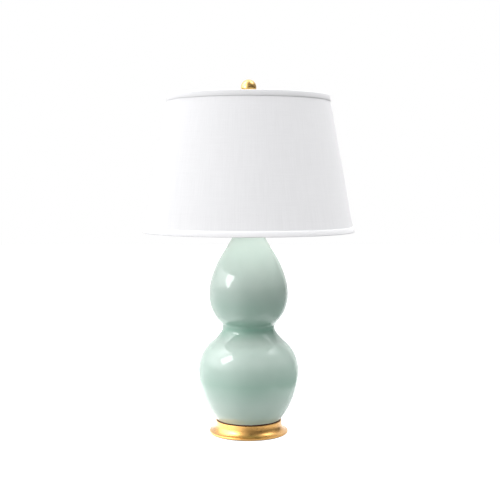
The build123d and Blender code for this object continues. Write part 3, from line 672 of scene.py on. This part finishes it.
@dataclass
class Gourd:
    """The glazed ceramic body. Sizes in mm.

    Attributes:
        seat: Height of its underside.
        foot_radius: Radius where the side leaves the foot.
        lean: Degrees that the side leans out there.
        runs: Radius and turn of each arc up the side, then the straight stretch of the neck.
        neck_radius: Radius of the neck's hollow arc.
        wall: Wall thickness.
        floor: Thickness of the bottom.
        hole: Radius of the hole for the pipe.
        lip: Rounding of the lip.
    """

    seat: float = 29.1
    foot_radius: float = 66.3
    lean: float = 39.5
    runs: tuple[Pair, ...] = (
        (162.0, 37.3),
        (78.0, 52.6),
        (96.0, -16.8),
        (15.0, -76.4),
        (89.0, 56.0),
        (206.0, 19.5),
        (22.0, 0.0),
    )
    neck_radius: float = 80.0
    wall: float = 6.0
    floor: float = 8.0
    hole: float = 5.4
    lip: float = 1.2

    def side(self, inset: float, pitch: float) -> Points:
        """Side from foot to neck, moved in by inset: each arc's radius changes by it, its turn stays."""
        lean = math.radians(self.lean)
        start = (self.foot_radius - inset * math.cos(lean), self.seat + inset * math.sin(lean))
        runs = [(radius - math.copysign(inset, turn) if turn else radius, turn) for radius, turn in self.runs]
        turned = sum(turn for _, turn in self.runs)
        runs.append((self.neck_radius + inset, self.lean - turned))
        return tangent_arcs(start, math.pi / 2 - lean, tuple(runs), pitch)

    def build(self) -> None:
        """Turn the shell: up the outside, over the lip, down the inside and out through the hole."""
        outer = self.side(0.0, 2.0)
        inner = self.side(self.wall, 6.0)[::-1]
        top_radius, top = outer[-1]
        inner = inner[inner[:, 1] > self.seat + self.floor]
        lip = [
            (top_radius - self.lip * 0.3, top - self.lip * 0.3),
            (top_radius - self.lip, top),
            (top_radius - self.wall, top),
        ]
        keep = outer[:, 1] < top - self.lip
        profile = np.concatenate(
            [
                np.array([(self.hole, self.seat)]),
                outer[keep],
                np.array(lip),
                inner,
                np.array([(self.hole, self.seat + self.floor)]),
            ]
        )
        body = lathe("gourd_glazed", profile, around=224, sharp=50.0)
        add_piece(body, "lamp", "glaze", GLAZE, "gourd_body")


@dataclass
class Foot:
    """The gilded foot with its felt, gasket, cord inlet and clamping hardware."""

    def build(self) -> None:
        """Smooth the turned foot and dress what goes with it."""
        smooth_pieces("lamp", "gold_leaf", FOOT_GOLD, {"foot_plinth": "foot_gilded"})
        smooth_pieces("lamp", "brass", BRASS, {"cord_bushing": "inlet_bushing"})
        paint(FELT, "felt_pad")
        paint(RUBBER, "seat_gasket")
        paint(STEEL, "foot_washer", "lock_washer", "foot_nut", "lamp_pipe")


@dataclass
class Neck:
    """The brass fittings between the gourd and the socket."""

    def build(self) -> None:
        """Smooth each fitting."""
        paint(RUBBER, "cap_gasket")
        names = {"vase_cap": "neck_cap", "neck_spacer": "neck_collar", "harp_saddle": "saddle_bent"}
        smooth_pieces("lamp", "brass", BRASS, names)


@dataclass
class BulbSocket:
    """The lamp socket. Sizes in mm.

    Attributes:
        thread_radius: Largest inner radius of the screw shell.
        shell_wall: Its wall.
        shell_span: Its lowest and highest point.
        pitch: Rise of the bulb's thread in one turn.
        depth: Depth of the rolled thread.
    """

    thread_radius: float = 13.5
    shell_wall: float = 0.5
    shell_span: Pair = (485.031, 506.031)
    pitch: float = 3.629
    depth: float = 0.7

    def build(self) -> None:
        """Smooth the metal and moulded parts and roll the thread into the screw shell."""
        smooth_pieces("lamp", "brass", BRASS, {"socket_cap": "socket_cup", "socket_shell": "socket_sleeve"})
        smooth_pieces("lamp", "phenolic", PHENOLIC, {"socket_core": "switch_block"})
        smooth_pieces("lamp", "liner", FIBRE, {"socket_liner": "paper_liner"})
        low, high = self.shell_span
        wall = rounded(
            [
                (self.thread_radius + self.shell_wall, low),
                (self.thread_radius + self.shell_wall, high),
                (self.thread_radius, high),
                (self.thread_radius, low),
            ],
            [0, 0.2, 0.2, 0],
            3,
        )
        shell = threaded("screw_shell_rolled", wall, (low + 2, high - 1), self.pitch, self.depth, inward=True)
        add_piece(shell, "lamp", "aluminium", ALUMINIUM, "screw_shell")
        paint(STUD_BRASS, "cap_set_screw", "terminal_screws", "centre_contact")
        smooth_pieces("switch_key", "brass", BRASS, {"switch_shaft": "key_shaft"})
        smooth_pieces("switch_key", "black_plastic", BLACK_PLASTIC, {"switch_knob": "key_moulded"})


@dataclass
class Bulb:
    """The opal bulb. Sizes in mm.

    Attributes:
        base: Height of its contact's underside.
        length: Whole length.
        radius: Radius of the ball.
        neck_radius: Radius of the glass where it enters the cap.
        glass: Wall of the glass.
        cap_base: Height of the cap's underside.
        cap_length: Length of the cap.
        cap_radius: Largest radius of the cap's thread.
        cap_bevel: Bevel at the cap's lower edge.
        cap_wall: Wall of the cap.
        pitch: Rise of the thread in one turn.
        depth: Depth of the rolled thread.
    """

    base: float = 486.431
    length: float = 108.0
    radius: float = 30.0
    neck_radius: float = 12.9
    glass: float = 1.0
    cap_base: float = 491.431
    cap_length: float = 21.0
    cap_radius: float = 13.2
    cap_bevel: float = 1.6
    cap_wall: float = 0.5
    pitch: float = 3.629
    depth: float = 0.7

    def envelope(self) -> Points:
        """Section of the glass: a hollow neck arc that runs into the ball with a shared tangent."""
        foot = self.cap_base + self.cap_length
        rise = self.base + self.length - self.radius - foot
        turn = 2 * math.atan((self.radius - self.neck_radius) / rise)
        neck = rise / math.sin(turn) - self.radius
        degrees = math.degrees(turn)
        outer = tangent_arcs(
            (self.neck_radius, foot), math.pi / 2, ((neck, -degrees), (self.radius, 90 + degrees)), 1.5
        )
        inner = tangent_arcs(
            (self.neck_radius - self.glass, foot),
            math.pi / 2,
            ((neck + self.glass, -degrees), (self.radius - self.glass, 90 + degrees)),
            3.0,
        )
        outer[-1, 0] = inner[-1, 0] = 0.0
        return np.concatenate([outer, inner[::-1]])

    def cap(self) -> Points:
        """Section of the cap's sheet, with its bevelled lower edge closed."""
        top = self.cap_base + self.cap_length
        return np.array(
            [
                (0, self.cap_base),
                (self.cap_radius - self.cap_bevel, self.cap_base),
                (self.cap_radius, self.cap_base + self.cap_bevel),
                (self.cap_radius, top),
                (self.cap_radius - self.cap_wall, top),
                (self.cap_radius - self.cap_wall, self.cap_base + self.cap_bevel),
                (0, self.cap_base + self.cap_bevel),
            ]
        )

    def build(self) -> None:
        """Blow the glass, roll the cap's thread and dress the contact."""
        glass = lathe("bulb_blown", self.envelope(), around=128)
        add_piece(glass, "bulb", "opal_glass", OPAL, "bulb_envelope")
        span = (self.cap_base + self.cap_bevel + 1, self.cap_base + self.cap_length - 3)
        cap = threaded("bulb_cap_rolled", self.cap(), span, self.pitch, self.depth)
        add_piece(cap, "bulb", "aluminium", ALUMINIUM, "bulb_cap")
        smooth_pieces("bulb", "black_glass", BLACK_GLASS, {"bulb_insulator": "contact_glass"})
        paint(STEEL, "bulb_contact")


@dataclass
class Harp:
    """The harp's wire loop, its ferrules and the swivel stud."""

    def build(self) -> None:
        """Smooth the bent and turned parts."""
        smooth_pieces("harp", "brass", BRASS, {"harp_wire": "harp_bent"}, 40.0)
        for side in ("left", "right"):
            smooth_pieces(f"{side}_ferrule", "brass", BRASS, {f"ferrule_{side}": f"{side}_ferrule_turned"})
        smooth_pieces("shade", "brass", STUD_BRASS, {"swivel_stud": "stud_turned"})


@dataclass
class Shade:
    """The cloth shade with its frame. Sizes in mm.

    Attributes:
        top: Height of the upper edge.
        bottom: Height of the lower edge.
        top_radius: Radius of the upper edge over its tape.
        bottom_radius: Radius of the lower edge over its tape.
        tape: Thickness of the tape.
        cloth: Thickness of the cloth.
        backing: Thickness of the backing.
        wrap: Thickness of the tape where it passes over an edge.
        tape_height: Height of the tape outside.
        tuck: Height of the tape inside.
        free_edge: Thickness of the tape at its free edge outside, from where it grows to the fold.
        wire: Radius of the ring wires.
        ring_inset: Distance from the shade's outside to the middle of a ring.
        ring_edge: Distance from an edge to the middle of its ring.
        lap: Width of the lap at the back.
        lap_lift: How far the lap stands out.
        tuck_gap: Gap between the tucked tape and the ring.
        around: Number of stretches in a full turn of cloth, tape and backing.
    """

    top: float = 689.331
    bottom: float = 414.588
    top_radius: float = 165.1
    bottom_radius: float = 215.9
    tape: float = 1.4
    cloth: float = 0.7
    backing: float = 0.9
    wrap: float = 0.8
    tape_height: float = 11.0
    tuck: float = 6.5
    free_edge: float = 0.6
    wire: float = 1.6
    ring_inset: float = 4.9
    ring_edge: float = 2.7
    lap: float = 9.0
    lap_lift: float = 0.35
    tuck_gap: float = 0.3
    around: int = 320

    def radius(self, z: float | Points) -> float | Points:
        """Outer radius of the shade at height z: a straight cone."""
        share = (z - self.bottom) / (self.top - self.bottom)
        return self.bottom_radius + share * (self.top_radius - self.bottom_radius)

    def ring_radius(self, z: float) -> float:
        """Radius of a ring's middle at height z, clear of the backing at the ring's upper side."""
        return float(self.radius(z + self.wire)) - self.ring_inset

    def wall(self, name: str, outer: Points, lift: float = 0.0) -> Piece:
        """Closed section turned round the axis, with lengths in metres as its UV map.

        The skin stands out by lift over the lap at the back, with its edge eased over 1 mm:
        r = r0 + lift clip((lap / 2 - |s|) / 1 mm, 0, 1), where s is the length along the skin from the
        back.

        Args:
            name: Name of the new piece.
            outer: Section in mm, up the outside and down the inside.
            lift: How far the lap stands out in mm.

        Returns:
            The new piece.
        """
        t = BACK + np.arange(self.around) * 2 * math.pi / self.around
        r, z = outer[:, :1], outer[:, 1:]
        away = np.abs((t - BACK + math.pi) % (2 * math.pi) - math.pi) * r
        outside = (r >= self.radius(z) - self.tape - 0.05).astype(float)
        r = r + outside * lift * np.clip(self.lap / 2 - away, 0, 1)
        points = np.stack([r * np.cos(t), r * np.sin(t), z + 0 * t], -1) * MM
        steps = np.linalg.norm(np.roll(outer, -1, 0) - outer, axis=1)
        up = np.concatenate([[0], np.cumsum(steps)]) * MM
        middle = float(outer[:, 0].mean())
        round_it = np.linspace(0, 2 * math.pi * middle * MM, self.around + 1)
        uv = np.stack(np.broadcast_arrays(round_it[None, :], up[:, None]), -1)
        return grid_piece(name, points, uv, sharp=50.0)

    def cone(self, inset: float, thickness: float) -> Points:
        """Section of a wall that lies inset from the outside, between the taped edges."""
        z = np.linspace(self.bottom + self.wrap, self.top - self.wrap, 30)
        outside = np.stack([self.radius(z) - inset, z], -1)
        inside = np.stack([self.radius(z) - inset - thickness, z], -1)[::-1]
        return np.concatenate([outside, inside])

    def tape_section(self, edge: float, inward: int) -> Points:
        """Section of the tape folded over one edge. inward is -1 at the top and 1 at the bottom."""
        reach = edge + inward * self.tape_height
        fold = edge + inward * self.wrap
        tuck = edge + inward * self.tuck
        behind = self.ring_radius(edge + inward * self.ring_edge) - self.wire - self.tuck_gap
        corners = [
            (self.radius(reach) - self.tape + self.free_edge, reach),
            (self.radius(edge), edge),
            (behind - self.wrap, edge),
            (behind - self.wrap, tuck),
            (behind, tuck),
            (behind, fold),
            (self.radius(fold) - self.tape, fold),
            (self.radius(reach) - self.tape, reach),
        ]
        radii = [0.3, 0.6, 0.5, 0.3, 0.3, 0.0, 0.0, 0.0]
        if inward > 0:
            corners, radii = corners[::-1], radii[::-1]
        return rounded(corners, radii, 4)

    def build(self) -> None:
        """Make the cloth, tapes, backing, rings and spider."""
        cloth = self.wall("shade_linen", self.cone(self.tape, self.cloth), self.lap_lift)
        add_piece(cloth, "shade", "linen", LINEN, "shade_cloth")
        backing = self.wall("shade_styrene", self.cone(self.tape + self.cloth, self.backing))
        add_piece(backing, "shade", "backing", STYRENE, "shade_backing")
        for name, edge, inward, node in (
            ("tape_top", self.top, -1, "trim_top"),
            ("tape_bottom", self.bottom, 1, "trim_bottom"),
        ):
            tape = self.wall(name, self.tape_section(edge, inward))
            add_piece(tape, "shade", "tape", LINEN_TAPE, node)
        for name, z, node in (
            ("ring_top", self.top - self.ring_edge, "shade_ring_top"),
            ("ring_bottom", self.bottom + self.ring_edge, "shade_ring_bottom"),
        ):
            t = np.arange(16) * 2 * math.pi / 16
            section = np.stack([self.ring_radius(z) + self.wire * np.cos(t), z + self.wire * np.sin(t)], -1)
            add_piece(lathe(name, section, 192), "shade", "wire", ENAMEL, node)
        smooth_pieces("shade", "wire", ENAMEL, {"spider": "spider_welded"}, 40.0)
        self.declare()

    def declare(self) -> None:
        """Work out the heights and radii at the cloth's two ends, and do nothing with them.

        A cone of slant s and end radii a and b unrolls to a sector of angle 2 pi (a - b) / s between
        radii b s / (a - b) and a s / (a - b).
        """
        low, high = self.bottom + self.wrap, self.top - self.wrap
        wide, narrow = self.radius(low) - self.tape, self.radius(high) - self.tape


@dataclass
class Finial:
    """The ball finial. Sizes in mm.

    Attributes:
        base: Height of its underside.
        height: Height of the collar under the ball.
        ball: Radius of the ball.
        stem: Length of the stem between collar and ball.
        stem_radius: Radius of the stem.
        bore: Radius of the threaded hole.
        bore_depth: Depth of the hole.
    """

    base: float = 676.131
    height: float = 14.5
    ball: float = 15.9
    stem: float = 0.9
    stem_radius: float = 5.0
    bore: float = 3.4
    bore_depth: float = 11.2

    def collar(self) -> Points:
        """Section of the collar: a disc, a waist on an arc through three points, and a flared top."""
        low, top = self.base + 2.0, self.base + self.height
        z = np.linspace(low, top, 20)
        ends = (8.6, 5.6, 7.0)
        heights = (low, self.base + 9.0, top)
        r = np.polyval(np.polyfit(heights, ends, 2), z)
        roof = self.base + self.bore_depth
        return np.concatenate(
            [
                np.array([(self.bore, self.base), (8.3, self.base), (8.6, self.base + 0.3)]),
                np.stack([r, z], -1),
                np.array([(0, top), (0, roof), (self.bore, roof)]),
            ]
        )

    def globe(self) -> Points:
        """Section of the ball on its stem: the arc r = R cos(a), z = centre + R sin(a)."""
        top = self.base + self.height
        centre = top + self.stem + self.ball
        first = -math.acos(self.stem_radius / self.ball)
        a = np.linspace(first, math.pi / 2, 60)
        arc = np.stack([self.ball * np.cos(a), centre + self.ball * np.sin(a)], -1)
        arc[-1, 0] = 0.0
        return np.concatenate([np.array([(0, top), (self.stem_radius, top)]), arc])

    def build(self) -> None:
        """Turn the collar and the ball."""
        add_piece(lathe("finial_turned", self.collar(), 96), "finial_base", "brass", BRASS, "finial_collar")
        add_piece(lathe("finial_gilded", self.globe(), 128), "finial", "gilt_finial", BALL_GOLD, "finial_ball")


# ---------------------------------------------------------------- studio


@dataclass(frozen=True)
class SoftBox:
    """A rectangular studio light, small enough that it only shows as a highlight in gloss.

    Attributes:
        name: Name of the light.
        place: Its middle in metres.
        aim: Point that it faces.
        width: Width in metres.
        height: Height in metres.
        watts: Its power.
        roll: Turn about its own axis in degrees.
    """

    name: str
    place: Triple
    aim: Triple
    width: float
    height: float
    watts: float
    roll: float = 0.0

    def build(self) -> None:
        """Hang the light, turn it to its aim and roll it about its own axis."""
        data = bpy.data.lights.new(self.name, "AREA")
        data.shape = "RECTANGLE"
        data.size, data.size_y = self.width, self.height
        data.energy = self.watts
        lamp = bpy.data.objects.new(self.name, data)
        lamp.location = self.place
        aimed = (Vector(self.aim) - Vector(self.place)).to_track_quat("-Z", "Y")
        lamp.rotation_euler = (aimed @ Quaternion((0, 0, 1), math.radians(self.roll))).to_euler()
        lamp.visible_camera = False
        lamp.visible_diffuse = False
        bpy.context.scene.collection.objects.link(lamp)


@dataclass(frozen=True)
class SkyPatch:
    """A soft bright patch of the white studio all round the lamp.

    Attributes:
        azimuth: Degrees round from the camera's side, positive to its right.
        elevation: Degrees above the table.
        strength: Brightness at its middle.
        sharpness: Power of the cosine by which it fades.
    """

    azimuth: float
    elevation: float
    strength: float
    sharpness: float = 9.0

    def brightness(self, tree: Tree, direction: Socket) -> Socket:
        """Strength times the sharpness-th power of the cosine from its middle, and none behind it."""
        a, e = math.radians(self.azimuth), math.radians(self.elevation)
        middle = (math.sin(a) * math.cos(e), -math.cos(a) * math.cos(e), math.sin(e))
        cosine = add_node(tree, "VectorMath", {0: direction, 1: middle}, operation="DOT_PRODUCT").outputs["Value"]
        faded = maths(tree, "POWER", maths(tree, "MAXIMUM", cosine, 0.0), self.sharpness)
        return maths(tree, "MULTIPLY", faded, self.strength)


def sky(*rows: tuple[float, ...]) -> tuple[SkyPatch, ...]:
    """Patches from rows of azimuth, elevation, strength and, where it isn't the usual one, sharpness."""
    return tuple(SkyPatch(*row) for row in rows)


# What lights the lamp, set by its front view alone. The shade's back comes out pure white, probably because the
# patches above and behind (azimuth past 90) are so strong.
PATCHES = sky(
    *((-150, 8, 0.67), (-120, 8, 0.52), (-90, 8, 0.55), (-60, 8, 1.3), (-30, 8, 1.0), (98, 8, 1.1), (180, 8, 0.87)),
    *((-135, 42, 0.79), (-90, 42, 0.54), (90, 42, 0.1), (180, 42, 1.67), (-120, 68, 0.48)),
    *((60, 76, 5.2, 16.0), (120, 76, 6.2, 16.0), (180, 68, 2.43), (-50, 56, 2.0), (0, 88, 1.3)),
)
# What shows in gloss instead of them: the window wall on the left, a strip light high on each side, the pale
# ceiling behind and faint fill elsewhere.
SHEEN = sky(
    *((-82, 20, 4.2, 4.0), (95, 10, 0.5), (-95, 57, 4.5, 30.0), (95, 57, 4.5, 30.0)),
    *((180, 60, 1.6, 6.0), (-45, 30, 0.5), (20, 20, 0.25, 4.0)),
)


@dataclass
class Studio:
    """Table, lights, surroundings and camera.

    Attributes:
        sheet_front: Distance in metres from the lamp's axis to the front edge of the white sheet it stands on.
        sheet_side: Distance to the sheet's sides.
        sheet_white: Brightness of the sheet in gloss.
        table_dark: Brightness of the table round it in gloss.
        table_lit: Brightness of the table in gloss on the window's side.
        backdrop_half: Half of the angle in degrees that the white backdrop takes up behind the lamp.
        backdrop: Brightness of the backdrop in gloss.
        table_half: Half of the table's width in metres.
        eye_near: Glow of the sheet to the camera, on top of the light that falls on it.
        eye_far: The same for the table.
        paper_near: sRGB hex colour by which the sheet takes light and shadow.
        paper_far: The same for the table.
        lens: Focal length in mm on a sensor of 36 mm.
        eye: Place of the camera in metres.
        tip: How far it looks down, in radians.
    """

    sheet_front: float = 0.2
    sheet_side: float = 0.3
    sheet_white: float = 0.4
    table_dark: float = 0.08
    table_lit: float = 1.7
    backdrop_half: float = 45.0
    backdrop: float = 1.0
    table_half: float = 6.0
    eye_near: float = 0.8
    eye_far: float = 0.9
    paper_near: str = "#AFAFAF"
    paper_far: str = "#6D6D6D"
    lens: float = 73.97
    eye: Triple = (0.0027, -2.0995, 0.5212)
    tip: float = 0.0685

    def build(self) -> None:
        """Build the studio."""
        scene = bpy.context.scene
        scene.view_settings.view_transform = "Standard"
        self.build_world(PATCHES, SHEEN)
        self.build_table()
        SoftBox("window", (-0.616, -0.372, 0.67), (-0.04, -0.07, 0.28), 0.25, 0.4, 2.5, roll=-36.0).build()
        self.build_camera()

    def build_world(self, patches: tuple[SkyPatch, ...], sheen: tuple[SkyPatch, ...]) -> None:
        """White to the camera and through glass. Patches light the lamp, sheen and the backdrop show in its gloss."""
        world = bpy.context.scene.world or bpy.data.worlds.new("studio")
        bpy.context.scene.world = world
        world.use_nodes = True
        tree = world.node_tree
        tree.nodes.clear()
        rays = add_node(tree, "LightPath").outputs
        direction = add_node(tree, "TexCoord").outputs["Generated"]
        light, shine = (self.total(tree, direction, group) for group in (patches, sheen))
        edge = math.cos(math.radians(self.backdrop_half))
        wall = remap(tree, level_axis(tree, direction, "Y"), edge - 0.01, edge + 0.01, last=self.backdrop)
        height = add_node(tree, "SeparateXYZ", {0: direction}).outputs["Z"]
        above = remap(tree, height, 0.0, 0.35, interpolation_type="SMOOTHSTEP")
        faded = blend(tree, above, self.low_glow(tree, direction), shine)
        gloss = maths(tree, "MAXIMUM", faded, wall)
        seen = maths(tree, "MAXIMUM", rays["Is Camera Ray"], rays["Is Transmission Ray"])
        strength = blend(tree, seen, blend(tree, rays["Is Glossy Ray"], light, gloss), 1.0)
        background = add_node(tree, "Background", {"Color": linear("#FFFFFF"), "Strength": strength})
        tree.links.new(background.outputs[0], add_node(tree, "OutputWorld").inputs[0])

    def total(self, tree: Tree, direction: Socket, patches: tuple[SkyPatch, ...]) -> Socket:
        """Brightness of all the patches together."""
        light: float | Socket = 0.0
        for patch in patches:
            light = maths(tree, "ADD", light, patch.brightness(tree, direction))
        return light

    def build_table(self) -> None:
        """Table that looks white all over, with a white sheet under the lamp that runs back to the backdrop."""
        mesh = bpy.data.meshes.new("table_top")
        half = self.table_half
        corners = [(-half, -half, 0), (half, -half, 0), (half, half, 0), (-half, half, 0)]
        mesh.from_pydata(corners, [], [(0, 1, 2, 3)])
        table = bpy.data.objects.new("table_top", mesh)
        bpy.context.scene.collection.objects.link(table)
        surface = bpy.data.materials.new("white_sheet_on_grey_table")
        surface.use_nodes = True
        tree = surface.node_tree
        tree.nodes.clear()
        near, far = self.sheet_share(tree)
        rays = add_node(tree, "LightPath").outputs
        in_gloss = maths(tree, "MAXIMUM", rays["Is Glossy Ray"], rays["Is Transmission Ray"])
        low = self.low_glow(tree, object_place(tree))
        gloss = blend(tree, near, low, maths(tree, "MAXIMUM", low, self.sheet_white))
        gloss = blend(tree, far, gloss, self.backdrop)
        to_eye = blend(tree, near, self.eye_far, self.eye_near)
        glow = blend(tree, rays["Is Camera Ray"], maths(tree, "MULTIPLY", in_gloss, gloss), to_eye)
        light = add_node(tree, "Emission", {"Color": linear("#FFFFFF"), "Strength": glow}).outputs[0]
        paper = blend_colour(tree, near, linear(self.paper_far), linear(self.paper_near))
        coat = add_node(tree, "BsdfDiffuse", {0: paper}).outputs[0]
        both = add_node(tree, "AddShader", {0: light, 1: coat}).outputs[0]
        tree.links.new(both, add_node(tree, "OutputMaterial").inputs[0])
        mesh.materials.append(surface)

    def low_glow(self, tree: Tree, toward: Socket) -> Socket:
        """Brightness in gloss of what lies low: dark, and lit on the left where the window wall is.

        With n = the level part of toward at length 1, it grows from dark at n.x = 0.1 to lit at n.x = -0.9.
        """
        side = level_axis(tree, toward, "X")
        return remap(tree, side, 0.1, -0.9, self.table_dark, self.table_lit, interpolation_type="SMOOTHSTEP")

    def sheet_share(self, tree: Tree) -> tuple[Socket, Socket]:
        """Two shares from 0 to 1: on the strip under the lamp, and on the sector behind it.

        Inside the strip |x| < side and y > -front. Inside the sector y > |x| / tan(half angle).
        """
        axes = add_node(tree, "SeparateXYZ", {0: object_place(tree)}).outputs
        aside = maths(tree, "ABSOLUTE", axes["X"])
        in_front = maths(tree, "ADD", axes["Y"], self.sheet_front)
        strip = maths(tree, "MINIMUM", in_front, maths(tree, "SUBTRACT", self.sheet_side, aside))
        slope = 1 / math.tan(math.radians(self.backdrop_half))
        sector = maths(tree, "SUBTRACT", axes["Y"], maths(tree, "MULTIPLY", aside, slope))
        return remap(tree, strip, -0.045, 0.045), remap(tree, sector, -0.004, 0.004)

    def build_camera(self) -> None:
        """Camera a little over 2 m in front, tipped down by about 4 degrees."""
        data = bpy.data.cameras.new("camera")
        data.sensor_width = 36.0
        data.lens = self.lens
        camera = bpy.data.objects.new("camera", data)
        camera.location = self.eye
        camera.rotation_euler = (math.pi / 2 - self.tip, 0.0, 0.0)
        bpy.context.scene.collection.objects.link(camera)
        bpy.context.scene.camera = camera


def main() -> None:
    """Build the lamp from the foot up, then the studio."""
    logging.basicConfig(level=logging.INFO, format="%(name)s: %(message)s")
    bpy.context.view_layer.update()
    for assembly in (Foot(), Gourd(), Neck(), BulbSocket(), Bulb(), Harp(), Shade(), Finial(), Studio()):
        log.info("building %s", type(assembly).__name__)
        assembly.build()


if __name__ == "__main__":
    main()
